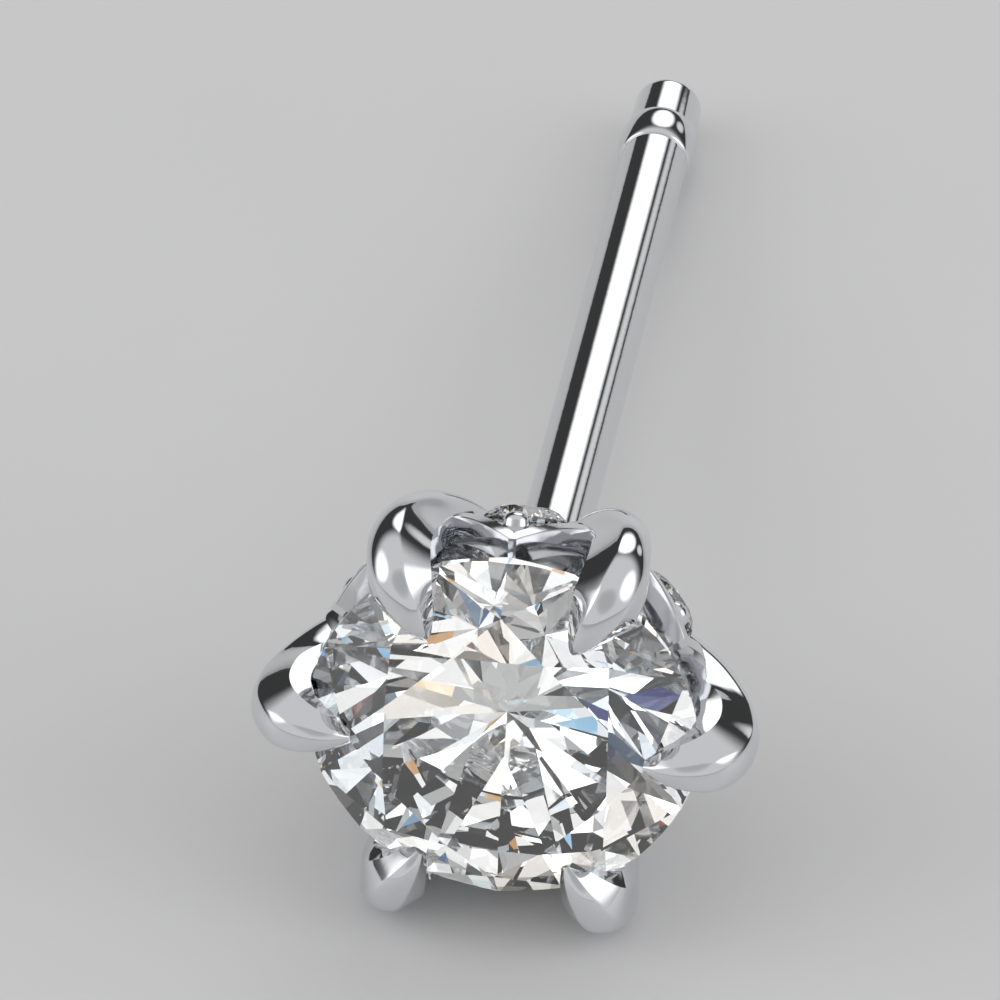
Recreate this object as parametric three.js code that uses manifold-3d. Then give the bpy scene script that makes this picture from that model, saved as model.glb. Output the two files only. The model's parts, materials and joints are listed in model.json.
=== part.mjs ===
// Stud earring: a round brilliant held by six claws, over a tulip basket of six petals.
// Each petal carries one small brilliant. A straight post with a stop ring runs out of the back.
// Millimetres. The head is drawn about its own axis, +Z through the table of the centre stone
// and z = 0 at its girdle, and is then laid down to rest on two claws and the end of the post.

import * as THREE from 'three';
import { mergeVertices } from 'three/addons/utils/BufferGeometryUtils.js';
import Module from 'manifold-3d';

// Stones
const STONE_DIAMETER = 4.4;
const SIDE_STONE_DIAMETER = 0.94;
const TABLE_RATIO = 0.62;
const GIRDLE_RATIO = 0.03;
const STAR_LENGTH = 0.5;
const LOWER_HALF_LENGTH = 0.77;
const CROWN_ANGLE = THREE.MathUtils.degToRad(34.5);
const PAVILION_ANGLE = THREE.MathUtils.degToRad(40.75);
const MAIN_FACETS = 8;

// Head
const CLAW_COUNT = 6;
const CLAW_STEP = (2 * Math.PI) / CLAW_COUNT;
const CLAW_SIDES = 10;
const CLAW_STATIONS = 18;
const PETAL_THICKNESS = 0.32;
const PETAL_DROP = 0.34;
const PETAL_STATIONS = 9;
const PETAL_COLUMNS = 4;
const PETAL_ROOT_AT = 0.055;
const PETAL_CORNER_AT = 0.33;
const PETAL_APEX_AT = 0.475;
const PETAL_APEX_HALF = 0.05;
const PETAL_BITE = 0.16;
const PETAL_LEAN = 0.16;
const RIM_WIDTH = 0.12;
const RIM_HEIGHT = 0.09;
const RECESS_ROOT_AT = 0.17;
const RECESS_APEX_AT = 0.455;
const SIDE_STONE_AT = 0.285;
const SIDE_STONE_SINK = 0.1;
const BEAD_RADIUS = 0.13;
const BEAD_OFFSETS = [-0.56, 0.56];
const BEAD_SIDES = 8;
const BEAD_BANDS = 5;
const CENTRE_STONE_GAP = 1.02;
const SIDE_STONE_GAP = 1.06;

// Post
const POST_RADIUS = 0.4;
const POST_START = -2.3;
const POST_TIP = -13.65;
const POST_FLAT_RADIUS = 0.2;
const POST_ROUNDING = 0.2;
const RING_CENTRE = -12.55;
const RING_RADIUS = 0.46;
const RING_HALF_WIDTH = 0.3;
const RING_STEPS = 6;
const TIP_STEPS = 3;
const POST_SIDES = 20;
const POST_MIDDLE = -6;

// Base cup under the basket, and the solder that runs out round the post: radius, height.
const CUP_PROFILE = [
  [0, -2.86],
  [0.42, -2.86],
  [0.52, -2.7],
  [0.62, -2.62],
  [0.76, -2.48],
  [0.78, -2.26],
  [0.56, -2.12],
  [0, -2.12],
];

// One claw from the root to its point: the middle of its section, and the section's size.
const CLAW_SECTIONS = [
  { radius: 0.44, height: -2.4, width: 0.54, depth: 0.44 },
  { radius: 1.0, height: -2.24, width: 0.62, depth: 0.56 },
  { radius: 1.62, height: -1.82, width: 0.66, depth: 0.62 },
  { radius: 2.13, height: -1.18, width: 0.7, depth: 0.7 },
  { radius: 2.42, height: -0.5, width: 0.74, depth: 0.76 },
  { radius: 2.47, height: 0.04, width: 0.8, depth: 0.76 },
  { radius: 2.33, height: 0.36, width: 0.78, depth: 0.66 },
  { radius: 2.08, height: 0.5, width: 0.6, depth: 0.5 },
  { radius: 1.84, height: 0.53, width: 0.38, depth: 0.34 },
  { radius: 1.66, height: 0.52, width: 0.14, depth: 0.16 },
];

const METAL = new THREE.MeshStandardMaterial({ color: 0xd9dbde, roughness: 0.08, metalness: 1 });
const DIAMOND = new THREE.MeshStandardMaterial({ color: 0xf2f6fa, roughness: 0.02, metalness: 0 });

const wasm = await Module();
wasm.setup();

// Closed skin through a row of rings, whose points turn right-handed about the way they run.
function loft(rings) {
  const count = rings[0].length;
  const last = (rings.length - 1) * count;
  const faces = [];
  for (let start = 0; start < last; start += count) {
    for (let j = 0; j < count; j += 1) {
      const a = start + j;
      const b = start + ((j + 1) % count);
      faces.push(a, b, b + count, a, b + count, a + count);
    }
  }
  for (let j = 1; j < count - 1; j += 1) {
    faces.push(0, j + 1, j, last, last + j, last + j + 1);
  }
  const geometry = new THREE.BufferGeometry().setFromPoints(rings.flat());
  geometry.setIndex(faces);
  return geometry;
}

function toSolid(geometry) {
  const bare = geometry.clone();
  bare.deleteAttribute('normal');
  bare.deleteAttribute('uv');
  const merged = mergeVertices(bare);
  return new wasm.Manifold(new wasm.Mesh({
    numProp: 3,
    vertProperties: merged.attributes.position.array,
    triVerts: new Uint32Array(merged.index.array),
  }));
}

function toGeometry(solid) {
  const mesh = solid.getMesh();
  const geometry = new THREE.BufferGeometry();
  geometry.setAttribute('position', new THREE.BufferAttribute(mesh.vertProperties, 3));
  geometry.setIndex(new THREE.BufferAttribute(mesh.triVerts, 1));
  return geometry;
}

function polar(radius, angle, height) {
  return new THREE.Vector3(radius * Math.cos(angle), radius * Math.sin(angle), height);
}

// Round brilliant about +Z with its girdle at z = 0: table, stars, kites, halves and mains.
function brilliant(diameter) {
  const radius = diameter / 2;
  const step = (2 * Math.PI) / MAIN_FACETS;
  const tableRadius = radius * TABLE_RATIO;
  const halfGirdle = (diameter * GIRDLE_RATIO) / 2;
  const starRadius = tableRadius * Math.cos(step / 2);
  const starTip = starRadius + (radius - starRadius) * STAR_LENGTH;
  const lowerTip = radius * (1 - LOWER_HALF_LENGTH);
  const crown = (x) => halfGirdle + (radius - x) * Math.tan(CROWN_ANGLE);
  const pavilion = (x) => -halfGirdle - (radius - x) * Math.tan(PAVILION_ANGLE);
  const table = new THREE.Vector3(0, 0, crown(tableRadius));
  const culet = new THREE.Vector3(0, 0, pavilion(0));
  const corners = [];
  for (let k = 0; k < MAIN_FACETS; k += 1) {
    const a = k * step;
    const b = a + step / 2;
    const c = a + step;
    const t0 = polar(tableRadius, a, table.z);
    const t1 = polar(tableRadius, c, table.z);
    const star = polar(starTip, b, crown(starTip * Math.cos(step / 2)));
    const lower = polar(lowerTip, b, pavilion(lowerTip * Math.cos(step / 2)));
    const lowerBefore = polar(lowerTip, a - step / 2, lower.z);
    const starBefore = polar(starTip, a - step / 2, star.z);
    const top = [a, b, c].map((angle) => polar(radius, angle, halfGirdle));
    const bottom = [a, b, c].map((angle) => polar(radius, angle, -halfGirdle));
    corners.push(table, t0, t1);
    corners.push(t0, star, t1);
    corners.push(t0, top[0], star, t0, starBefore, top[0]);
    corners.push(star, top[0], top[1], star, top[1], top[2]);
    corners.push(top[0], bottom[0], bottom[1], top[0], bottom[1], top[1]);
    corners.push(top[1], bottom[1], bottom[2], top[1], bottom[2], top[2]);
    corners.push(lower, bottom[1], bottom[0], lower, bottom[2], bottom[1]);
    corners.push(culet, lower, bottom[0], culet, bottom[0], lowerBefore);
  }
  return mergeVertices(new THREE.BufferGeometry().setFromPoints(corners));
}

// The bowl's meridian, shared by claws and petals: position and section size at 0 to 1.
const meridian = new THREE.CatmullRomCurve3(
  CLAW_SECTIONS.map((row) => new THREE.Vector3(row.radius, row.height, 0)),
);
const clawSize = new THREE.CatmullRomCurve3(
  CLAW_SECTIONS.map((row) => new THREE.Vector3(row.width, row.depth, 0)),
);

function bowlPoint(at, lift, angle) {
  const middle = meridian.getPoint(at);
  const along = meridian.getTangent(at);
  return polar(middle.x + lift * along.y, angle, middle.y - lift * along.x);
}

function clawRing(at, angle) {
  const size = clawSize.getPoint(at);
  const side = new THREE.Vector3(-Math.sin(angle), Math.cos(angle), 0);
  const ring = [];
  for (let j = 0; j < CLAW_SIDES; j += 1) {
    const turn = (2 * Math.PI * j) / CLAW_SIDES;
    const point = bowlPoint(at, (size.y / 2) * Math.cos(turn), angle);
    ring.push(point.addScaledVector(side, (size.x / 2) * Math.sin(turn)));
  }
  return ring;
}

function claw(angle) {
  const rings = [];
  for (let i = 0; i < CLAW_STATIONS; i += 1) {
    rings.push(clawRing(i / (CLAW_STATIONS - 1), angle));
  }
  return toSolid(loft(rings));
}

// Half the room between two claws, measured round the bowl.
function halfRoom(at) {
  return (meridian.getPoint(at).x * CLAW_STEP) / 2 - clawSize.getPoint(at).x / 2;
}

// How far a petal has closed: 0 up to its corners, 1 at its front point.
function petalClosing(at) {
  return Math.max((at - PETAL_CORNER_AT) / (PETAL_APEX_AT - PETAL_CORNER_AT), 0);
}

// Half width of a petal: it fills the room up to its corners, then closes to the front point.
function petalHalf(at) {
  if (at <= PETAL_CORNER_AT) {
    return halfRoom(at) + PETAL_BITE;
  }
  const corner = halfRoom(PETAL_CORNER_AT) + PETAL_BITE;
  return THREE.MathUtils.lerp(corner, PETAL_APEX_HALF, petalClosing(at));
}

function recessHalf(at) {
  return Math.max(Math.min(petalHalf(at) - PETAL_BITE, halfRoom(at)) - RIM_WIDTH, PETAL_APEX_HALF);
}

// Curved plate on the bowl between two lifts off its meridian, as wide as half() says. Past its
// corners it leans in towards the centre stone.
function plate({ angle, from, to, outer, inner, half }) {
  const rings = [];
  for (let i = 0; i <= PETAL_STATIONS; i += 1) {
    const at = THREE.MathUtils.lerp(from, to, i / PETAL_STATIONS);
    const spread = half(at) / meridian.getPoint(at).x;
    const lean = PETAL_LEAN * petalClosing(at);
    const ring = [];
    for (let j = 0; j <= PETAL_COLUMNS; j += 1) {
      const offset = THREE.MathUtils.lerp(-spread, spread, j / PETAL_COLUMNS);
      ring.push(bowlPoint(at, outer - lean, angle + offset));
    }
    for (let j = PETAL_COLUMNS; j >= 0; j -= 1) {
      const offset = THREE.MathUtils.lerp(-spread, spread, j / PETAL_COLUMNS);
      ring.push(bowlPoint(at, inner - lean, angle + offset));
    }
    rings.push(ring);
  }
  return toSolid(loft(rings));
}

function petalSurface(at) {
  return clawSize.getPoint(at).y / 2 - PETAL_DROP;
}

function petal(angle) {
  const surface = petalSurface(SIDE_STONE_AT);
  const body = plate({
    angle,
    from: PETAL_ROOT_AT,
    to: PETAL_APEX_AT,
    outer: surface,
    inner: surface - PETAL_THICKNESS,
    half: petalHalf,
  });
  const recess = plate({
    angle,
    from: RECESS_ROOT_AT,
    to: RECESS_APEX_AT,
    outer: surface + PETAL_THICKNESS,
    inner: surface - RIM_HEIGHT,
    half: recessHalf,
  });
  return body.subtract(recess);
}

// Where a side stone sits: its girdle's centre, and the way that its table faces.
function seat(angle) {
  const lift = petalSurface(SIDE_STONE_AT) - SIDE_STONE_SINK;
  const centre = bowlPoint(SIDE_STONE_AT, lift, angle);
  const facing = bowlPoint(SIDE_STONE_AT, lift + 1, angle).sub(centre);
  const turn = new THREE.Quaternion().setFromUnitVectors(new THREE.Vector3(0, 0, 1), facing);
  return { centre, facing, turn };
}

function placed(geometry, { centre, turn }) {
  const matrix = new THREE.Matrix4().compose(centre, turn, new THREE.Vector3(1, 1, 1));
  return toSolid(geometry.clone().applyMatrix4(matrix));
}

// Skin turned about the axis, from a profile of radius and height that runs up it.
function turned(profile) {
  const points = profile.map(([radius, height]) => new THREE.Vector2(radius, height));
  return new THREE.LatheGeometry(points, POST_SIDES).rotateX(Math.PI / 2);
}

// The opening that a side stone is let into, open to the outside.
function drill() {
  const radius = (SIDE_STONE_DIAMETER / 2) * SIDE_STONE_GAP;
  const depth = radius * Math.tan(PAVILION_ANGLE);
  return turned([[0, -depth], [radius, 0], [radius, radius], [0, radius]]);
}

function bead(angle, offset) {
  const { centre, facing } = seat(angle);
  const side = new THREE.Vector3(-Math.sin(angle), Math.cos(angle), 0);
  const along = new THREE.Vector3().crossVectors(side, facing);
  const middle = centre.clone().addScaledVector(along, offset);
  const ball = new THREE.SphereGeometry(BEAD_RADIUS, BEAD_SIDES, BEAD_BANDS);
  return toSolid(ball.translate(middle.x, middle.y, middle.z));
}

function post() {
  const profile = [[0, POST_TIP]];
  for (let i = 0; i <= TIP_STEPS; i += 1) {
    const turn = ((Math.PI / 2) * i) / TIP_STEPS;
    const radius = POST_FLAT_RADIUS + (POST_RADIUS - POST_FLAT_RADIUS) * Math.sin(turn);
    profile.push([radius, POST_TIP + POST_ROUNDING * (1 - Math.cos(turn))]);
  }
  for (let i = 0; i <= RING_STEPS; i += 1) {
    const turn = (Math.PI * i) / RING_STEPS;
    const radius = POST_RADIUS + (RING_RADIUS - POST_RADIUS) * Math.sin(turn);
    profile.push([radius, RING_CENTRE - RING_HALF_WIDTH * Math.cos(turn)]);
  }
  profile.push([POST_RADIUS, POST_START], [0, POST_START]);
  return toSolid(turned(profile));
}

function clawAngle(index) {
  return index * CLAW_STEP;
}

function petalAngle(index) {
  return clawAngle(index) + CLAW_STEP / 2;
}

function setting(stone, sideStone) {
  let metal = toSolid(turned(CUP_PROFILE)).add(post());
  for (let i = 0; i < CLAW_COUNT; i += 1) {
    metal = metal.add(claw(clawAngle(i))).add(petal(petalAngle(i)));
  }
  for (let i = 0; i < CLAW_COUNT; i += 1) {
    metal = metal.subtract(placed(drill(), seat(petalAngle(i))));
  }
  for (let i = 0; i < CLAW_COUNT; i += 1) {
    for (const offset of BEAD_OFFSETS) {
      metal = metal.add(bead(petalAngle(i), offset));
    }
    const room = sideStone.clone().scale(SIDE_STONE_GAP, SIDE_STONE_GAP, SIDE_STONE_GAP);
    metal = metal.subtract(placed(room, seat(petalAngle(i))));
  }
  const room = stone.clone().scale(CENTRE_STONE_GAP, CENTRE_STONE_GAP, CENTRE_STONE_GAP);
  return toGeometry(metal.subtract(toSolid(room)));
}

function named(name, geometry, material) {
  const mesh = new THREE.Mesh(geometry, material);
  mesh.name = name;
  return mesh;
}

// Lowest point of the metal on one side of the post's middle, with the axis tipped by tilt.
function lowest(geometry, tilt, isHead) {
  const points = geometry.attributes.position;
  let low = Infinity;
  for (let i = 0; i < points.count; i += 1) {
    if (points.getZ(i) > POST_MIDDLE === isHead) {
      low = Math.min(low, points.getY(i) * Math.cos(tilt) + points.getZ(i) * Math.sin(tilt));
    }
  }
  return low;
}

// Tilt at which the two lower claws and the end of the post touch one level surface.
function restingTilt(geometry) {
  let least = 0;
  let most = Math.PI / 4;
  while (most - least > 1e-9) {
    const tilt = (least + most) / 2;
    if (lowest(geometry, tilt, false) > lowest(geometry, tilt, true)) {
      least = tilt;
    } else {
      most = tilt;
    }
  }
  return least;
}

// The centre stone is turned so that two edges of its table lie level.
const stoneGeometry = brilliant(STONE_DIAMETER).rotateZ(Math.PI / MAIN_FACETS);
const sideStoneGeometry = brilliant(SIDE_STONE_DIAMETER);
const settingGeometry = setting(stoneGeometry, sideStoneGeometry);

const head = new THREE.Group();
head.add(named('setting', settingGeometry, METAL));
head.add(named('centre_stone', stoneGeometry, DIAMOND));
for (let i = 0; i < CLAW_COUNT; i += 1) {
  const { centre, turn } = seat(petalAngle(i));
  const stone = named(`side_stone_${i + 1}`, sideStoneGeometry, DIAMOND);
  stone.position.copy(centre);
  stone.quaternion.copy(turn);
  head.add(stone);
}

// Lay the axis down, table towards -Y, and set the whole on z = 0 over the origin.
head.rotation.x = Math.PI / 2 - restingTilt(settingGeometry);
const earring = new THREE.Group();
earring.add(head);
earring.updateMatrixWorld(true);
const box = new THREE.Box3().setFromObject(earring, true);
head.position.set(-(box.min.x + box.max.x) / 2, -(box.min.y + box.max.y) / 2, -box.min.z);

export default earring;
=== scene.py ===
"""Stud earring: a round brilliant in six pointed claws over a tulip basket of six stone-set petals.

The head is drawn in millimetres about its own axis: +Z through the table of the centre stone, z = 0
at its girdle, the post along -Z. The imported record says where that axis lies, and every finished
mesh is taken there.
"""

import json
import math

import bmesh
import bpy
import numpy as np
from mathutils import Matrix, Vector


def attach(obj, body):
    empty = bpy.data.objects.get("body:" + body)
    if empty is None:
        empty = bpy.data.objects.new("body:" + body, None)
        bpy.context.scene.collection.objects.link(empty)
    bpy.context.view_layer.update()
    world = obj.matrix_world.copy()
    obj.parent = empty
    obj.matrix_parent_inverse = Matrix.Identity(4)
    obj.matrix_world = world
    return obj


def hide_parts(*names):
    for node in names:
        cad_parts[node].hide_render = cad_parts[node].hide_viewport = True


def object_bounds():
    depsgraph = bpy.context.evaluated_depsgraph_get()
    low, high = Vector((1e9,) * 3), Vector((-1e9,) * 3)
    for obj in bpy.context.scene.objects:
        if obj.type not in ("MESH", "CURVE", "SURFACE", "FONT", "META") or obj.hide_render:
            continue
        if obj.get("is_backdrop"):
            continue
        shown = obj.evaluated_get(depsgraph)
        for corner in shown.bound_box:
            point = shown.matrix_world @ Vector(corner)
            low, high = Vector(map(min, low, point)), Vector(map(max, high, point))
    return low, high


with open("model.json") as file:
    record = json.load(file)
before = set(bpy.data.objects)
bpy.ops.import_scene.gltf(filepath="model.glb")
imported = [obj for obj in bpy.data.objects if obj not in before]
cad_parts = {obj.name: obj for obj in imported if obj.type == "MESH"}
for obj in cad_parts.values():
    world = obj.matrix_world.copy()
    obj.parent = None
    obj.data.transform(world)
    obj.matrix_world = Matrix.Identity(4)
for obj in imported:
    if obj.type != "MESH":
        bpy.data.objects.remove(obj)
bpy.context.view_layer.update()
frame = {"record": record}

# Stones
STONE_DIAMETER = 4.4
SIDE_STONE_DIAMETER = 0.94
TABLE_RATIO = 0.62
GIRDLE_RATIO = 0.03
STAR_LENGTH = 0.5
LOWER_HALF_LENGTH = 0.77
CROWN_ANGLE = math.radians(34.5)
PAVILION_ANGLE = math.radians(40.75)
MAIN_FACETS = 8
STONE_GIRDLE_SIDES = 64
SIDE_STONE_GIRDLE_SIDES = 32
DIAMOND_IOR = 2.417

# Basket
CLAW_COUNT = 6
CLAW_STEP = 2 * math.pi / CLAW_COUNT
CLAW_SIDES = 48
CLAW_STATIONS = 90
CREST_HALF = 0.52
CREST_DROP = 0.18
BEVEL_LOW = -0.12
CREASE_ROUND = 0.09
PETAL_LEAN = 0.16
PETAL_STATIONS = (40, 26)
PETAL_THICKNESS = 0.32
PETAL_DROP = 0.34
PETAL_ROOT_AT = 0.055
PETAL_CORNER_AT = 0.33
PETAL_APEX_AT = 0.475
PETAL_APEX_HALF = 0.05
PETAL_BITE = 0.16
CLAW_RIM = 0.12
CLAW_SHARP = 17
BAR_WIDTH = 0.2
EDGE_ROUND = 0.02
RECESS_WALL = 0.045
RECESS_DEPTH = 0.1
RECESS_ROOT_AT = 0.15
SIDE_STONE_AT = 0.285
SIDE_STONE_SINK = 0.1
SEAT_GAP = 1.03
DRILL_RADIUS = 0.16
BEARING_ROOM = 1.005

# Post
POST_RADIUS = 0.4
POST_START = -2.3
POST_TIP = -13.65
POST_FLAT_RADIUS = 0.2
POST_ROUNDING = 0.2
RING_CENTRE = -12.55
RING_RADIUS = 0.46
RING_HALF_WIDTH = 0.3

# One claw from the root to its point: radius and height of its middle, then its width and depth.
CLAW_SECTIONS = (
    (0.44, -2.4, 0.54, 0.44),
    (1.0, -2.24, 0.62, 0.56),
    (1.62, -1.82, 0.66, 0.62),
    (2.13, -1.18, 0.7, 0.7),
    (2.42, -0.5, 0.74, 0.76),
    (2.47, 0.04, 0.8, 0.76),
    (2.33, 0.36, 0.78, 0.66),
    (2.08, 0.5, 0.6, 0.5),
    (1.84, 0.53, 0.38, 0.34),
    (1.66, 0.52, 0.14, 0.16),
)

# Base cup and the solder round the post: radius and height. Its top is a shallow dish.
CUP_DISH = 0.13
CUP_PROFILE = (
    (0.56, -2.12),
    (0.78, -2.26),
    (0.76, -2.48),
    (0.62, -2.62),
    (0.52, -2.7),
    (0.42, -2.86),
)

# Beads raised at a side stone's edge: place on the bowl, distance aside, radius and height.
GRAINS = (
    (0.362, 0.05, 0.15, 0.13),
    (0.208, -0.03, 0.11, 0.1),
)

# Graver cuts beside a side stone, X towards the base: shallow end, deep end, half width and depth.
GRAVER_CUTS = (
    ((1.15, 0.02, 0), (0.66, 0.14, 0), 0.07, 0.07),
    ((0.95, -0.2, 0), (0.5, -0.36, 0), 0.07, 0.07),
    ((-0.95, 0.03, 0), (-0.66, 0.16, 0), 0.06, 0.06),
    ((-0.9, -0.04, 0), (-0.58, -0.28, 0), 0.06, 0.06),
)
GRAIN_STEM = 0.15
GRAVER_POINT = 0.012
GRAVER_CLEAR = 0.06

# Room light. The metal sees a broad soft ring and a few wide lamps; the stones see pale panels
# with dark gaps between them and small bright lamps. A lamp has the way to it, its inner and outer
# half angle in degrees, and its strength. The ring's angles are where its dark middle ends, where it
# is full, where it starts to fall and where it ends. Red and blue are set a little apart in the
# stones, as a prism would.
ROOM_TONE = 0.045
RING_TONE = 0.62
RING_MIDDLE = (0.1, -0.72, 0.68)
RING_ANGLES = (8, 34, 78, 104)
WIDE_LAMPS = (
    ((-0.85, -0.2, 0.5), 10, 30, 0.95),
    ((0.85, -0.05, 0.5), 10, 28, 0.95),
    ((0.05, 0.9, 0.42), 12, 21, 1.5),
    ((0.52, 0.86, 0.18), 3, 9, 0.7),
    ((0.1, -0.72, 0.68), 8, 32, 0.42),
)
GAP_TONE = 0.03
PANEL_TONE = 1.1
PANEL_COUNT = 8
GAP_TURN = math.radians(8.5)
GAP_HALF = math.radians(5)
PANEL_LOW, PANEL_HIGH, TOP_LOW = math.radians(1), math.radians(60), math.radians(66)
PANEL_SOFT = math.radians(2.2)
SMALL_LAMPS = (
    ((0.1, -0.93, 0.36), 10, 14, 1.8),
    ((-0.62, -0.35, 0.7), 14, 19, 1.4),
    ((0.8, -0.25, 0.5), 10, 15, 1.2),
    ((-0.22, 0.93, 0.33), 9, 13, 1.6),
)
PRISM_SHIFT = 0.007
BACKDROP_TONE = 0.525

# Floor: half its width, how far its tone starts and stops falling into painted shade, in metres, and its
# tones, the far one painted shade
FLOOR_HALF = 0.6
FLOOR_SHADE_FALL = (0.012, 0.09)
FLOOR_DARK, FLOOR_PALE = (0.76, 0.76, 0.765, 1), (0.8, 0.8, 0.805, 1)
FLOOR_SHADE_FAR = (0.52, 0.52, 0.525, 1)

# Turned work: its sides, and the radius that stands for the axis, so that each end keeps a face
ROUND_SIDES = 96
DRILL_SIDES = 64
GRAIN_SIDES = 32
AXIS = 0.001

MM = 0.001

# Camera: angles in degrees, lengths in metres, its sensor in millimetres, and the share of the
# picture that the earring fills. It is aimed by the outer bends of the claws and the post's end.
CAMERA_AZIMUTH = 8.5
CAMERA_ELEVATION = 42.8
CAMERA_DISTANCE = 0.16
CAMERA_SENSOR = 36
CAMERA_CLIP = (0.005, 5)
FRAME_SHARE = 0.86
AIM_ROUNDS = 8
CLAW_BENDS = ((-2.8, 0), (2.8, 0), (1.4, 2.4), (-1.4, 2.4), (1.4, -2.4), (-1.4, -2.4))
CLAW_BEND_HEIGHT = 0.3


def mix(a, b, share):
    return a + (b - a) * share


def ease(low, high, value):
    share = min(max((value - low) / (high - low), 0.0), 1.0)
    return share * share * (3 - 2 * share)


def spline(rows, at):
    """Centripetal Catmull-Rom through the rows, at 0 to 1."""
    rows = np.asarray(rows, float)
    span = min(max(at, 0.0), 1.0) * (len(rows) - 1)
    start = min(int(span), len(rows) - 2)
    share = span - start
    b, c = rows[start], rows[start + 1]
    a = rows[start - 1] if start > 0 else 2 * b - c
    d = rows[start + 2] if start + 2 < len(rows) else 2 * c - b
    before, here, after = (math.sqrt(np.linalg.norm(q - p)) for p, q in ((a, b), (b, c), (c, d)))
    leave = ((b - a) / before - (c - a) / (before + here) + (c - b) / here) * here
    arrive = ((c - b) / here - (d - b) / (here + after) + (d - c) / after) * here
    square = -3 * b + 3 * c - 2 * leave - arrive
    cube = 2 * b - 2 * c + leave + arrive
    return b + share * (leave + share * (square + share * cube))


BOWL_ROWS = [row[:2] for row in CLAW_SECTIONS]
SIZE_ROWS = [row[2:] for row in CLAW_SECTIONS]


def bowl(at):
    """Radius and height of the bowl's meridian, and the way it runs."""
    step = 1e-4
    low, high = max(at - step, 0.0), min(at + step, 1.0)
    along = spline(BOWL_ROWS, high) - spline(BOWL_ROWS, low)
    return spline(BOWL_ROWS, at), along / np.linalg.norm(along)


def bowl_point(at, lift, angle):
    middle, along = bowl(at)
    radius = middle[0] + lift * along[1]
    height = middle[1] - lift * along[0]
    return Vector((radius * math.cos(angle), radius * math.sin(angle), height))


def side_way(angle):
    return Vector((-math.sin(angle), math.cos(angle), 0))


# Mesh making


def skin(name, rings):
    """Closed mesh through a row of rings, with a face over each end."""
    count = len(rings[0])
    last = (len(rings) - 1) * count
    faces = []
    for start in range(0, last, count):
        for j in range(count):
            a, b = start + j, start + (j + 1) % count
            faces.append((a, b, b + count, a + count))
    faces.append(tuple(reversed(range(count))))
    faces.append(tuple(range(last, last + count)))
    mesh = bpy.data.meshes.new(name)
    mesh.from_pydata([tuple(point) for ring in rings for point in ring], [], faces)
    return mesh


def tidy(mesh, sharp=28):
    """Joins doubled points, turns every face outwards and shades it smooth up to the sharp angle."""
    work = bmesh.new()
    work.from_mesh(mesh)
    bmesh.ops.remove_doubles(work, verts=work.verts, dist=1e-5)
    bmesh.ops.recalc_face_normals(work, faces=work.faces)
    work.to_mesh(mesh)
    work.free()
    mesh.shade_smooth()
    mesh.set_sharp_from_angle(angle=math.radians(sharp))
    return mesh


def joined(name, meshes):
    work = bmesh.new()
    for mesh in meshes:
        work.from_mesh(mesh)
    whole = bpy.data.meshes.new(name)
    work.to_mesh(whole)
    work.free()
    return whole


def carrier(mesh):
    made = bpy.data.objects.new(mesh.name, mesh)
    bpy.context.scene.collection.objects.link(made)
    return made


def baked(name, made):
    """Plain mesh of an object with its modifiers, which is then removed."""
    bpy.context.view_layer.update()
    graph = bpy.context.evaluated_depsgraph_get()
    mesh = bpy.data.meshes.new_from_object(made.evaluated_get(graph), depsgraph=graph)
    mesh.name = name
    bpy.data.objects.remove(made)
    return mesh


def cut(name, mesh, tool):
    body, cutter = carrier(mesh), carrier(tool)
    change = body.modifiers.new("cut", "BOOLEAN")
    change.operation = "DIFFERENCE"
    change.solver = "EXACT"
    change.object = cutter
    result = baked(name, body)
    bpy.data.objects.remove(cutter)
    return result


def lathe(name, profile, sides, wobble=None):
    """Solid of revolution; wobble(turn, height) moves a radius."""
    rings = []
    for radius, height in profile:
        ring = []
        for j in range(sides):
            turn = 2 * math.pi * j / sides
            reach = radius + (wobble(turn, height) if wobble else 0)
            ring.append((reach * math.cos(turn), reach * math.sin(turn), height))
        rings.append(ring)
    return skin(name, rings)


# Stones


def facet_planes(diameter):
    """A point and an outward normal for each facet of a round brilliant, its table edges level."""
    radius = diameter / 2
    step = 2 * math.pi / MAIN_FACETS
    half_girdle = diameter * GIRDLE_RATIO / 2
    table_radius = radius * TABLE_RATIO
    star_radius = table_radius * math.cos(step / 2)
    star_tip = star_radius + (radius - star_radius) * STAR_LENGTH
    lower_tip = radius * (1 - LOWER_HALF_LENGTH)
    crown_slope, pavilion_slope = math.tan(CROWN_ANGLE), math.tan(PAVILION_ANGLE)

    def polar(reach, turn, height):
        return Vector((reach * math.cos(turn), reach * math.sin(turn), height))

    def crown(reach):
        return half_girdle + (radius - reach) * crown_slope

    def pavilion(reach):
        return -half_girdle - (radius - reach) * pavilion_slope

    def plane(a, b, c):
        normal = (b - a).cross(c - a).normalized()
        return a, normal if normal.dot(a) > 0 else -normal

    def main_facet(turn, side, angle):
        normal = polar(math.sin(angle), turn, side * math.cos(angle))
        return polar(radius, turn, side * half_girdle), normal

    table_height = crown(table_radius)
    planes = [(Vector((0, 0, table_height)), Vector((0, 0, 1)))]
    for k in range(MAIN_FACETS):
        a = (k + 0.5) * step
        b, c = a + step / 2, a + step
        star = polar(star_tip, b, crown(star_tip * math.cos(step / 2)))
        lower = polar(lower_tip, b, pavilion(lower_tip * math.cos(step / 2)))
        middle_top, middle_bottom = polar(radius, b, half_girdle), polar(radius, b, -half_girdle)
        planes.append(main_facet(a, 1, CROWN_ANGLE))
        planes.append(plane(polar(table_radius, a, table_height), polar(table_radius, c, table_height), star))
        planes.append(main_facet(a, -1, PAVILION_ANGLE))
        for end in (a, c):
            planes.append(plane(star, polar(radius, end, half_girdle), middle_top))
            planes.append(plane(lower, polar(radius, end, -half_girdle), middle_bottom))
    return planes


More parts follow.
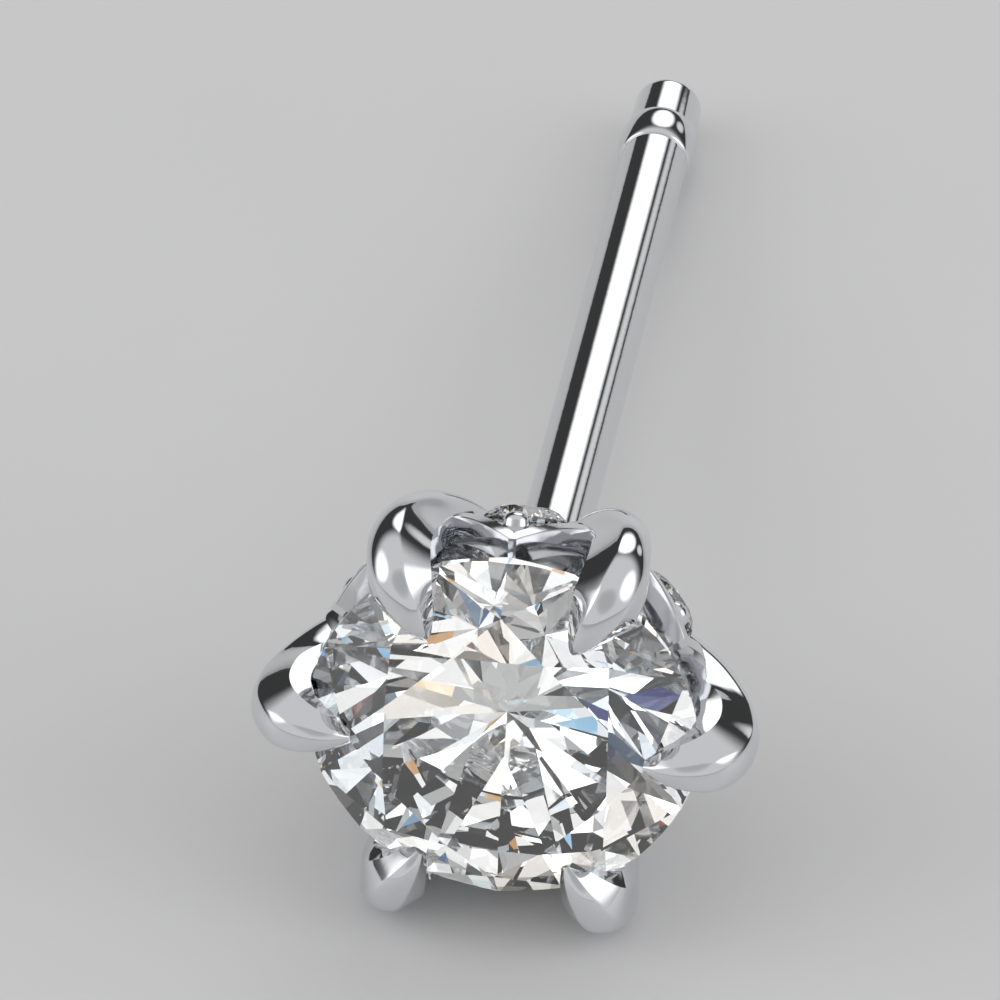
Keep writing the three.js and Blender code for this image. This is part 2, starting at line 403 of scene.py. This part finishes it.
def brilliant(name, diameter, girdle_sides):
    """Round brilliant: a drum with everything beyond each facet's plane cut away."""
    work = bmesh.new()
    drum = {"radius1": diameter / 2, "radius2": diameter / 2, "depth": 2 * diameter}
    bmesh.ops.create_cone(work, cap_ends=True, segments=girdle_sides, **drum)
    for point, normal in facet_planes(diameter):
        parts = work.verts[:] + work.edges[:] + work.faces[:]
        knife = {"plane_co": point, "plane_no": normal, "clear_outer": True}
        made = bmesh.ops.bisect_plane(work, geom=parts, dist=1e-6, **knife)
        rim = [part for part in made["geom_cut"] if isinstance(part, bmesh.types.BMEdge)]
        bmesh.ops.holes_fill(work, edges=rim)
    bmesh.ops.recalc_face_normals(work, faces=work.faces)
    mesh = bpy.data.meshes.new(name)
    work.to_mesh(mesh)
    work.free()
    return mesh


# Claws and petals


def crested(step):
    """Front section of a claw, from its crest to its underside, at 0 to 24: an easy arc, a softened
    crease, a filed bevel down each side, and a short wall to the stone."""

    def arc(share):
        return Vector((CREST_HALF * share, 1 - CREST_DROP * share**2))

    def bevel(share):
        low = mix(1 - CREST_DROP, BEVEL_LOW, share) + 0.03 * math.sin(math.pi * share)
        return Vector((mix(CREST_HALF, 1, share), low))

    if step <= 9:
        return arc((1 - CREASE_ROUND) * step / 9)
    if step <= 12:
        share = (step - 9) / 3
        before = arc(1 - CREASE_ROUND).lerp(arc(1), share)
        return before.lerp(arc(1).lerp(bevel(CREASE_ROUND), share), share)
    if step <= 17:
        return bevel(mix(CREASE_ROUND, 1, (step - 12) / 5))
    if step <= 20:
        share = (step - 17) / 3
        return Vector((mix(1, 0.97, share), mix(BEVEL_LOW, -0.75, share)))
    share = (step - 20) / 4
    return Vector((mix(0.97, 0, share), mix(-0.75, -1, math.sin(share * math.pi / 2))))


def claw_outline(at, angle):
    """Section of a claw: rounded at the root, with bevelled sides where it runs over the stone."""
    width, depth = spline(SIZE_ROWS, at)
    filed = ease(0.3, 0.47, at)
    half = CLAW_SIDES // 2
    ring = []
    for j in range(CLAW_SIDES):
        step = min(j, CLAW_SIDES - j)
        across, rise = crested(step * 24 / half)
        turn = math.pi * step / half
        across = mix(math.sin(turn), across, filed) * (1 if j <= half else -1)
        rise = mix(math.cos(turn), rise, filed)
        point = bowl_point(at, depth / 2 * rise, angle)
        ring.append(point + side_way(angle) * (width / 2 * across))
    return ring


def claw():
    rings = [claw_outline(i / (CLAW_STATIONS - 1), 0) for i in range(CLAW_STATIONS)]
    return tidy(skin("claw", rings), CLAW_SHARP)


def half_room(at):
    """Half the room between two claws, measured round the bowl."""
    return bowl(at)[0][0] * CLAW_STEP / 2 - spline(SIZE_ROWS, at)[0] / 2


def petal_half(at):
    if at <= PETAL_CORNER_AT:
        return half_room(at) + PETAL_BITE
    closing = (at - PETAL_CORNER_AT) / (PETAL_APEX_AT - PETAL_CORNER_AT)
    return mix(half_room(PETAL_CORNER_AT) + PETAL_BITE, PETAL_APEX_HALF, closing)


def petal_surface(at=SIDE_STONE_AT):
    """Lift of a petal's face off the bowl: level up to its corners, then leaning in to the stone."""
    closing = max((at - PETAL_CORNER_AT) / (PETAL_APEX_AT - PETAL_CORNER_AT), 0.0)
    return spline(SIZE_ROWS, SIDE_STONE_AT)[1] / 2 - PETAL_DROP - PETAL_LEAN * closing


def petal_columns(at):
    """Distance from the middle and depth of the petal's face, from its middle to one edge."""
    half = petal_half(at)
    rim = mix(CLAW_RIM + PETAL_BITE, BAR_WIDTH, ease(PETAL_CORNER_AT - 0.03, PETAL_CORNER_AT + 0.01, at))
    field = max(half - rim, 0.0)
    depth = RECESS_DEPTH * ease(RECESS_ROOT_AT - 0.02, RECESS_ROOT_AT + 0.01, at) * min(field / 0.12, 1.0)
    wall = min(RECESS_WALL, field / 3)
    ledge = min(0.04, field / 4)
    edge = min(EDGE_ROUND, (half - field) / 4)
    return [
        (0.0, depth),
        ((field - wall - ledge) * 0.35, depth),
        ((field - wall - ledge) * 0.7, depth),
        (field - wall - ledge, depth),
        (field - wall * 0.5 - ledge, depth * 0.55),
        (field - wall * 0.5, depth * 0.55),
        (field, 0.0),
        (mix(field, half - edge, 0.5), 0.0),
        (half - edge, 0.0),
        (half - edge * 0.3, edge * 0.3),
        (half, edge),
    ]


def petal():
    rings = []
    low, high = PETAL_STATIONS
    rows = [mix(PETAL_ROOT_AT, PETAL_CORNER_AT, i / low) for i in range(low)]
    rows += [mix(PETAL_CORNER_AT, PETAL_APEX_AT, i / high) for i in range(high + 1)]
    for at in rows:
        surface = petal_surface(at)
        radius = bowl(at)[0][0]
        columns = petal_columns(at)
        face = [(-x, drop) for x, drop in reversed(columns[1:])] + columns
        ring = [bowl_point(at, surface - drop, x / radius) for x, drop in face]
        ring += [bowl_point(at, surface - PETAL_THICKNESS, x / radius) for x, _ in reversed(face)]
        rings.append(ring)
    return tidy(skin("petal", rings))


def upright(at, lift, aside=0.0):
    """Matrix of a place on the bowl: X towards the base, Y round the bowl, Z outwards."""
    turn = aside / bowl(at)[0][0]
    centre = bowl_point(at, lift, turn)
    facing = (bowl_point(at, lift + 1, turn) - centre).normalized()
    across = side_way(turn)
    along = across.cross(facing)
    return Matrix.Translation(centre) @ Matrix((along, across, facing)).transposed().to_4x4()


def seat():
    """Where a side stone sits on the petal at angle 0."""
    return upright(SIDE_STONE_AT, petal_surface() - SIDE_STONE_SINK)


def drill():
    """Opening under a side stone: a cone below the girdle, a straight wall above it."""
    radius = SIDE_STONE_DIAMETER / 2 * SEAT_GAP
    depth = radius * math.tan(PAVILION_ANGLE)
    low, high = -depth - 0.2, 0.5
    profile = [(AXIS, low), (DRILL_RADIUS, low), (DRILL_RADIUS, -depth * 0.66)]
    profile += [(radius, -0.02), (radius, high), (AXIS, high)]
    return tidy(lathe("drill", profile, DRILL_SIDES))


def graver_cut(start, end, spread, deep):
    """Three-sided wedge cut from a wide shallow end to a narrow deep one, on the seat's plane."""
    start, end = Vector(start), Vector(end)
    way = (end - start).normalized()
    side = Vector((-way.y, way.x, 0))
    surface = SIDE_STONE_SINK - RECESS_DEPTH
    points = []
    for place, half, low in ((start, GRAVER_POINT, 0.0), (end, spread, deep)):
        points.append(place + side * half + Vector((0, 0, surface + GRAVER_CLEAR)))
        points.append(place - side * half + Vector((0, 0, surface + GRAVER_CLEAR)))
        points.append(place + Vector((0, 0, surface - low)))
    faces = [(0, 2, 1), (3, 4, 5), (0, 1, 4, 3), (1, 2, 5, 4), (2, 0, 3, 5)]
    mesh = bpy.data.meshes.new("graver_cut")
    mesh.from_pydata([tuple(point) for point in points], [], faces)
    return tidy(mesh)


def grain(at, aside, radius, height):
    """Bead of metal raised at the stone's edge, rounded over a short stem."""
    profile = [(AXIS, -GRAIN_STEM), (radius * 1.1, -GRAIN_STEM), (radius * 1.02, height * 0.1)]
    for i in range(13):
        turn = math.pi / 2 * i / 12
        profile.append((max(radius * math.cos(turn), AXIS), height * (0.15 + 0.85 * math.sin(turn))))
    mesh = lathe("grain", profile, GRAIN_SIDES)
    mesh.transform(upright(at, petal_surface(at) - RECESS_DEPTH, aside))
    return tidy(mesh)


def bearing(stone):
    """Room for the centre stone in the metal: its outline turned about its axis, a little larger."""
    corners = [vertex.co for vertex in stone.vertices]
    rows = sorted({(round(corner.z, 3), round(math.hypot(corner.x, corner.y), 3)) for corner in corners})
    profile = [(AXIS, rows[0][0])]
    profile += [(radius, height) for height, radius in rows if radius > 10 * AXIS]
    profile.append((AXIS, rows[-1][0]))
    mesh = lathe("bearing", profile, ROUND_SIDES)
    mesh.transform(Matrix.Scale(BEARING_ROOM, 4))
    return tidy(mesh)


def post_profile():
    profile = [(AXIS, POST_TIP)]
    for i in range(13):
        turn = math.pi / 2 * i / 12
        reach = POST_FLAT_RADIUS + (POST_RADIUS - POST_FLAT_RADIUS) * math.sin(turn)
        profile.append((reach, POST_TIP + POST_ROUNDING * (1 - math.cos(turn))))
    for i in range(25):
        turn = math.pi * i / 24
        reach = POST_RADIUS + (RING_RADIUS - POST_RADIUS) * math.sin(turn)
        profile.append((reach, RING_CENTRE - RING_HALF_WIDTH * math.cos(turn)))
    for i in range(1, 31):
        profile.append((POST_RADIUS, mix(RING_CENTRE + RING_HALF_WIDTH, POST_START, i / 30)))
    profile.append((AXIS, POST_START))
    return profile


def cup_profile():
    rows = [(AXIS, CUP_PROFILE[-1][1])]
    rows += [tuple(spline(CUP_PROFILE[::-1], i / 24)) for i in range(25)]
    rim, top = CUP_PROFILE[0]
    for i in range(1, 9):
        rows.append((max(rim * (1 - i / 8), AXIS), top - CUP_DISH * math.sin(math.pi / 2 * i / 8)))
    return rows


def solder_lumps(turn, height):
    """Small rises and dips where solder has run."""
    low = ease(-2.86, -2.78, height) * (1 - ease(-2.4, -2.3, height))
    lumps = 0.5 * math.sin(3 * turn + 9 * height) + 0.3 * math.sin(7 * turn - 16 * height + 1.3)
    return 0.022 * low * (lumps + 0.4 * math.sin(11 * turn + 21 * height + 0.4))


# Repeats round the head


def around_the_head():
    """Node tree that repeats a geometry round the axis: count, first angle and finish."""
    tree = bpy.data.node_groups.new("around_the_head", "GeometryNodeTree")
    inputs = {}
    for name, kind in (
        ("Geometry", "NodeSocketGeometry"),
        ("Count", "NodeSocketInt"),
        ("First angle", "NodeSocketFloat"),
        ("Finish", "NodeSocketMaterial"),
    ):
        inputs[name] = tree.interface.new_socket(name=name, in_out="INPUT", socket_type=kind).identifier
    tree.interface.new_socket(name="Geometry", in_out="OUTPUT", socket_type="NodeSocketGeometry")
    new, link = tree.nodes.new, tree.links.new
    given, result = new("NodeGroupInput"), new("NodeGroupOutput")
    places, copies = new("GeometryNodePoints"), new("GeometryNodeInstanceOnPoints")
    index, step, angle = new("GeometryNodeInputIndex"), new("ShaderNodeMath"), new("ShaderNodeMath")
    turn, rotation = new("ShaderNodeCombineXYZ"), new("FunctionNodeEulerToRotation")
    whole, finish = new("GeometryNodeRealizeInstances"), new("GeometryNodeSetMaterial")
    step.operation, angle.operation = "DIVIDE", "MULTIPLY_ADD"
    step.inputs[0].default_value = 2 * math.pi
    link(given.outputs["Count"], places.inputs["Count"])
    link(given.outputs["Count"], step.inputs[1])
    link(index.outputs[0], angle.inputs[0])
    link(step.outputs[0], angle.inputs[1])
    link(given.outputs["First angle"], angle.inputs[2])
    link(angle.outputs[0], turn.inputs["Z"])
    link(turn.outputs[0], rotation.inputs[0])
    link(places.outputs[0], copies.inputs["Points"])
    link(given.outputs["Geometry"], copies.inputs["Instance"])
    link(rotation.outputs[0], copies.inputs["Rotation"])
    link(copies.outputs[0], whole.inputs[0])
    link(whole.outputs[0], finish.inputs["Geometry"])
    link(given.outputs["Finish"], finish.inputs["Material"])
    link(finish.outputs[0], result.inputs[0])
    return tree, inputs


def repeated(name, pattern, first, finish):
    tree, inputs = HEAD_TREE
    made = carrier(pattern)
    change = made.modifiers.new("around", "NODES")
    change.node_group = tree
    change[inputs["Count"]] = CLAW_COUNT
    change[inputs["First angle"]] = first
    change[inputs["Finish"]] = finish
    return baked(name, made)


# Materials


class Socket:
    """An output in a material's nodes. Arithmetic on it adds Math nodes."""

    def __init__(self, tree, output=None):
        self.tree = tree
        self.output = output

    def node(self, kind, settings=None, sockets=None, output=0):
        made = self.tree.nodes.new(kind)
        for name, value in (settings or {}).items():
            setattr(made, name, value)
        for name, value in (sockets or {}).items():
            entry = next(s for s in made.inputs if name in (s.identifier, s.name))
            if isinstance(value, Socket):
                self.tree.links.new(value.output, entry)
            else:
                entry.default_value = value
        if isinstance(output, int):
            return Socket(self.tree, made.outputs[output])
        return Socket(self.tree, next(s for s in made.outputs if s.identifier == output))

    def math(self, operation, first, second):
        sockets = {"Value": first, "Value_001": second}
        return self.node("ShaderNodeMath", {"operation": operation}, sockets)

    def __add__(self, other):
        return self.math("ADD", self, other)

    def __sub__(self, other):
        return self.math("SUBTRACT", self, other)

    def __mul__(self, other):
        return self.math("MULTIPLY", self, other)

    def __rsub__(self, other):
        return self.math("SUBTRACT", other, self)

    __radd__ = __add__
    __rmul__ = __mul__


def material(name):
    made = bpy.data.materials.new(name)
    made.use_nodes = True
    made.node_tree.nodes.clear()
    return made, Socket(made.node_tree)


def finish_with(start, shader):
    end = start.tree.nodes.new("ShaderNodeOutputMaterial")
    start.tree.links.new(shader.output, end.inputs["Surface"])


def noise(start, place, scale, detail=2.0):
    return start.node("ShaderNodeTexNoise", None, {"Vector": place, "Scale": scale, "Detail": detail}, 0)


def blend(start, share, a, b):
    sockets = {"Factor_Float": share, "A_Color": a, "B_Color": b}
    return start.node("ShaderNodeMix", {"data_type": "RGBA"}, sockets, "Result_Color")


def polished_metal(name, pale, dark, roughness, uneven, bump):
    """Mirror-polished white metal: faint clouding of tone and gloss, and a trace of the mop's drag."""
    made, start = material(name)
    place = start.node("ShaderNodeTexCoord", None, None, "Object")
    cloud = noise(start, place, 900.0, 3.0)
    fine = noise(start, place, 9000.0, 2.0)
    surface = start.node("ShaderNodeBump", None, {"Height": fine, "Strength": bump, "Distance": 0.00001})
    shader = start.node(
        "ShaderNodeBsdfPrincipled",
        None,
        {
            "Base Color": blend(start, cloud, (*dark, 1), (*pale, 1)),
            "Metallic": 1.0,
            "Roughness": roughness + uneven * cloud,
            "Normal": surface,
        },
    )
    finish_with(start, shader)
    return made


def diamond(name, tint):
    """Colourless stone with painted fire: each facet's faint warm or cool tint, mixed into its colour, stands
    in for dispersed light.
    """
    made, start = material(name)
    painted_fire = start.node("ShaderNodeAttribute", {"attribute_name": "painted_fire"}, None, 0)
    shader = start.node(
        "ShaderNodeBsdfPrincipled",
        None,
        {
            "Base Color": blend(start, tint, (1, 1, 1, 1), painted_fire),
            "Roughness": 0.0,
            "IOR": DIAMOND_IOR,
            "Transmission Weight": 1.0,
        },
    )
    finish_with(start, shader)
    return made


def add_painted_fire(mesh, seed):
    """Painted fire: a faint warm, cool or clear tint painted on each facet, standing in for dispersed light.
    """
    tints = ((1.0, 0.86, 0.68), (0.7, 0.86, 1.0), (1.0, 1.0, 1.0), (0.97, 1.0, 0.97), (1.0, 1.0, 1.0))
    picks = np.random.default_rng(seed)
    layer = mesh.color_attributes.new("painted_fire", "FLOAT_COLOR", "CORNER")
    for face in mesh.polygons:
        tint = tints[int(picks.integers(len(tints)))]
        for corner in face.loop_indices:
            layer.data[corner].color = (*tint, 1)


def pale_floor():
    """Pale board with painted shade: a little deeper in tone the farther it lies from the earring, a painted
    pool of light round it.
    """
    made, start = material("pale_floor")
    place = start.node("ShaderNodeTexCoord", None, None, "Object")
    # Painted shade: the tone falls from the near tones to the far one with distance from the earring.
    far = start.node("ShaderNodeVectorMath", {"operation": "LENGTH"}, {"Vector": place}, "Value")
    limits = {"Value": far, "From Min": FLOOR_SHADE_FALL[0], "From Max": FLOOR_SHADE_FALL[1]}
    painted_shade_share = start.node("ShaderNodeMapRange", {"interpolation_type": "SMOOTHSTEP"}, limits)
    tooth = noise(start, place, 220.0, 4.0)
    near = blend(start, tooth, FLOOR_DARK, FLOOR_PALE)
    sockets = {"Base Color": blend(start, painted_shade_share, near, FLOOR_SHADE_FAR), "Roughness": 0.55}
    finish_with(start, start.node("ShaderNodeBsdfPrincipled", None, sockets))
    return made


# Placing


def head_matrix():
    """Head millimetres to the row frame, from the flat end of the post."""
    mount = next(row for row in frame["record"]["mounts"] if row["name"] == "post_end")
    back = Vector(mount["axis"]).normalized()
    centre = Vector(mount["pos_m"]) + back * (POST_TIP * MM)
    facing, across = -back, Vector((1, 0, 0))
    up = facing.cross(across)
    turn = Matrix((across, up, facing)).transposed().to_4x4()
    return Matrix.Translation(centre) @ turn @ Matrix.Scale(MM, 4)


def piece(name, mesh, finish, slot, *nodes):
    """Finished piece in the frame, riding on the root and standing for the CAD nodes named."""
    mesh.transform(HEAD)
    mesh.materials.clear()
    mesh.materials.append(finish)
    made = bpy.data.objects.new(name, mesh)
    bpy.context.scene.collection.objects.link(made)
    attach(made, "root")
    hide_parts(*nodes)


HEAD = head_matrix()
HEAD_TREE = around_the_head()

claw_metal = polished_metal("claw_metal", (0.81, 0.82, 0.84), (0.77, 0.78, 0.805), 0.035, 0.03, 0.05)
petal_metal = polished_metal("petal_metal", (0.8, 0.81, 0.83), (0.74, 0.75, 0.775), 0.07, 0.06, 0.12)
solder_metal = polished_metal("solder_metal", (0.77, 0.775, 0.79), (0.68, 0.685, 0.7), 0.08, 0.1, 0.4)
post_metal = polished_metal("post_metal", (0.81, 0.82, 0.84), (0.78, 0.79, 0.81), 0.045, 0.03, 0.06)
# The stones' material mixes their painted fire tints, standing in for dispersed light, in at half strength.
clear_diamond = diamond("clear_diamond", 0.5)

centre_stone = brilliant("centre_stone", STONE_DIAMETER, STONE_GIRDLE_SIDES)
# Painted fire: warm and cool facet tints on the centre stone and the side stones stand in for dispersed
# light.
add_painted_fire(centre_stone, 3)
side_stone = brilliant("side_stone", SIDE_STONE_DIAMETER, SIDE_STONE_GIRDLE_SIDES)
add_painted_fire(side_stone, 5)
side_stone.transform(seat())

claw_mesh = tidy(cut("claw", claw(), bearing(centre_stone)), CLAW_SHARP)
petal_mesh = cut("petal", petal(), bearing(centre_stone))
tools = [drill()]
tools += [graver_cut(*row) for row in GRAVER_CUTS]
for tool in tools:
    tool.transform(seat())
    petal_mesh = cut("petal", petal_mesh, tool)
tidy(petal_mesh)
grain_mesh = joined("grains", [grain(*row) for row in GRAINS])
grain_mesh.shade_smooth()

claws_mesh = repeated("claws", claw_mesh, 0.0, claw_metal)
petals_mesh = repeated("petals", petal_mesh, CLAW_STEP / 2, petal_metal)
grains_mesh = repeated("grains", grain_mesh, CLAW_STEP / 2, claw_metal)
cup_mesh = tidy(lathe("base_cup", cup_profile(), ROUND_SIDES, solder_lumps))
post_mesh = tidy(lathe("post", post_profile(), ROUND_SIDES))
side_stones_mesh = repeated("side_diamonds", side_stone, CLAW_STEP / 2, clear_diamond)
side_nodes = [f"side_stone_{i + 1}" for i in range(CLAW_COUNT)]

piece("claws", claws_mesh, claw_metal, "white_metal", "setting")
piece("petals", petals_mesh, petal_metal, "white_metal", "setting")
piece("grains", grains_mesh, claw_metal, "white_metal", "setting")
piece("base_cup", cup_mesh, solder_metal, "white_metal", "setting")
piece("post", post_mesh, post_metal, "white_metal", "setting")
piece("centre_diamond", centre_stone, clear_diamond, "centre_diamond", "centre_stone")
piece("side_diamonds", side_stones_mesh, clear_diamond, "side_diamond", *side_nodes)


# Stage


def stage_floor():
    corners = [(FLOOR_HALF * x, FLOOR_HALF * y, 0) for x, y in ((-1, -1), (1, -1), (1, 1), (-1, 1))]
    mesh = bpy.data.meshes.new("floor")
    mesh.from_pydata(corners, [], [(0, 1, 2, 3)])
    mesh.materials.append(pale_floor())
    made = bpy.data.objects.new("floor", mesh)
    bpy.context.scene.collection.objects.link(made)
    made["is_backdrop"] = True


def studio():
    """Wide soft lamps for the metal, panels and small lamps for the stones, and a plain backdrop."""
    world = bpy.data.worlds.new("studio")
    world.use_nodes = True
    world.node_tree.nodes.clear()
    start = Socket(world.node_tree)
    way = start.node("ShaderNodeTexCoord", None, None, "Generated")
    x, y, z = (start.node("ShaderNodeSeparateXYZ", None, {"Vector": way}, axis) for axis in "XYZ")
    turn = start.math("ARCTAN2", y, x)

    def step_up(value, low, high):
        limits = {"Value": value, "From Min": low, "From Max": high}
        return start.node("ShaderNodeMapRange", {"interpolation_type": "SMOOTHSTEP"}, limits)

    def lamps(glow, rows, shift=0.0):
        for toward, inner, outer, strength in rows:
            aside = Vector(toward).normalized() + shift * Vector((toward[1], -toward[0], 0.3))
            sockets = {"Vector": way, "Vector_001": aside.normalized()}
            near = start.node("ShaderNodeVectorMath", {"operation": "DOT_PRODUCT"}, sockets, "Value")
            spread = (math.cos(math.radians(outer)), math.cos(math.radians(inner)))
            glow = glow + strength * step_up(near, *spread)
        return glow

    walls = step_up(z, math.sin(PANEL_LOW), math.sin(PANEL_LOW + 2 * PANEL_SOFT))
    walls = walls * (1 - step_up(z, math.sin(PANEL_HIGH - 2 * PANEL_SOFT), math.sin(PANEL_HIGH)))
    top = step_up(z, math.sin(TOP_LOW), math.sin(TOP_LOW + 2 * PANEL_SOFT))
    bands = {}
    for band, shift in (("Red", PRISM_SHIFT), ("Green", 0.0), ("Blue", -PRISM_SHIFT)):
        wave = start.math("SINE", (turn - (GAP_TURN + shift)) * (PANEL_COUNT / 2), 0.0)
        edges = (math.sin(PANEL_COUNT / 2 * half) for half in (GAP_HALF, GAP_HALF + PANEL_SOFT))
        panels = walls * step_up(start.math("ABSOLUTE", wave, 0.0), *edges)
        bands[band] = lamps((panels + top) * PANEL_TONE + GAP_TONE, SMALL_LAMPS, shift)

    sockets = {"Vector": way, "Vector_001": Vector(RING_MIDDLE).normalized()}
    near = start.node("ShaderNodeVectorMath", {"operation": "DOT_PRODUCT"}, sockets, "Value")
    hole, inner, outer, end = (math.cos(math.radians(angle)) for angle in RING_ANGLES)
    ring = step_up(near, end, outer) * (1 - step_up(near, inner, hole))
    wide = lamps(ring * RING_TONE + ROOM_TONE, WIDE_LAMPS)
    for_metal = start.node("ShaderNodeCombineColor", None, {"Red": wide, "Green": wide, "Blue": wide})
    for_stones = start.node("ShaderNodeCombineColor", None, bands)
    through = start.node("ShaderNodeLightPath", None, None, "Is Transmission Ray")
    seen = start.node("ShaderNodeLightPath", None, None, "Is Camera Ray")
    room = blend(start, through, for_metal, for_stones)
    tone = blend(start, seen, room, (BACKDROP_TONE, BACKDROP_TONE, BACKDROP_TONE, 1))
    shader = start.node("ShaderNodeBackground", None, {"Color": tone, "Strength": 1.0})
    end = world.node_tree.nodes.new("ShaderNodeOutputWorld")
    world.node_tree.links.new(shader.output, end.inputs["Surface"])
    bpy.context.scene.world = world


def place_camera():
    """Camera at its angle to the head's middle, framing the whole earring."""
    low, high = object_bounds()
    a, e = math.radians(CAMERA_AZIMUTH), math.radians(CAMERA_ELEVATION)
    back = Vector((math.sin(a) * math.cos(e), -math.cos(a) * math.cos(e), math.sin(e)))
    eye = HEAD.translation + back * CAMERA_DISTANCE
    across = (-POST_RADIUS, POST_RADIUS)
    points = [HEAD @ Vector((x, y, CLAW_BEND_HEIGHT)) for x, y in CLAW_BENDS]
    points += [HEAD @ Vector((x, y, POST_TIP)) for x in across for y in across]
    aim = (low + high) / 2
    for _ in range(AIM_ROUNDS):
        turn = (aim - eye).to_track_quat("-Z", "Y")
        seen = [turn.inverted() @ (point - eye) for point in points]
        flat = [(p.x / -p.z, p.y / -p.z) for p in seen]
        span = [(min(f[i] for f in flat), max(f[i] for f in flat)) for i in (0, 1)]
        middle = [(lo + hi) / 2 for lo, hi in span]
        depth = (aim - eye).length
        aim = aim + turn @ Vector((middle[0] * depth, middle[1] * depth, 0))
    reach = max(hi - lo for lo, hi in span)
    data = bpy.data.cameras.new("camera")
    data.sensor_width = CAMERA_SENSOR
    data.lens = CAMERA_SENSOR * FRAME_SHARE / reach
    data.clip_start, data.clip_end = CAMERA_CLIP
    camera = bpy.data.objects.new("camera", data)
    camera.location = eye
    camera.rotation_euler = turn.to_euler()
    bpy.context.scene.collection.objects.link(camera)
    bpy.context.scene.camera = camera


stage_floor()
studio()
place_camera()

scene = bpy.context.scene
scene.view_settings.view_transform = "Standard"
scene.cycles.max_bounces = 24
scene.cycles.transmission_bounces = 24
scene.cycles.glossy_bounces = 8
scene.cycles.use_denoising = True
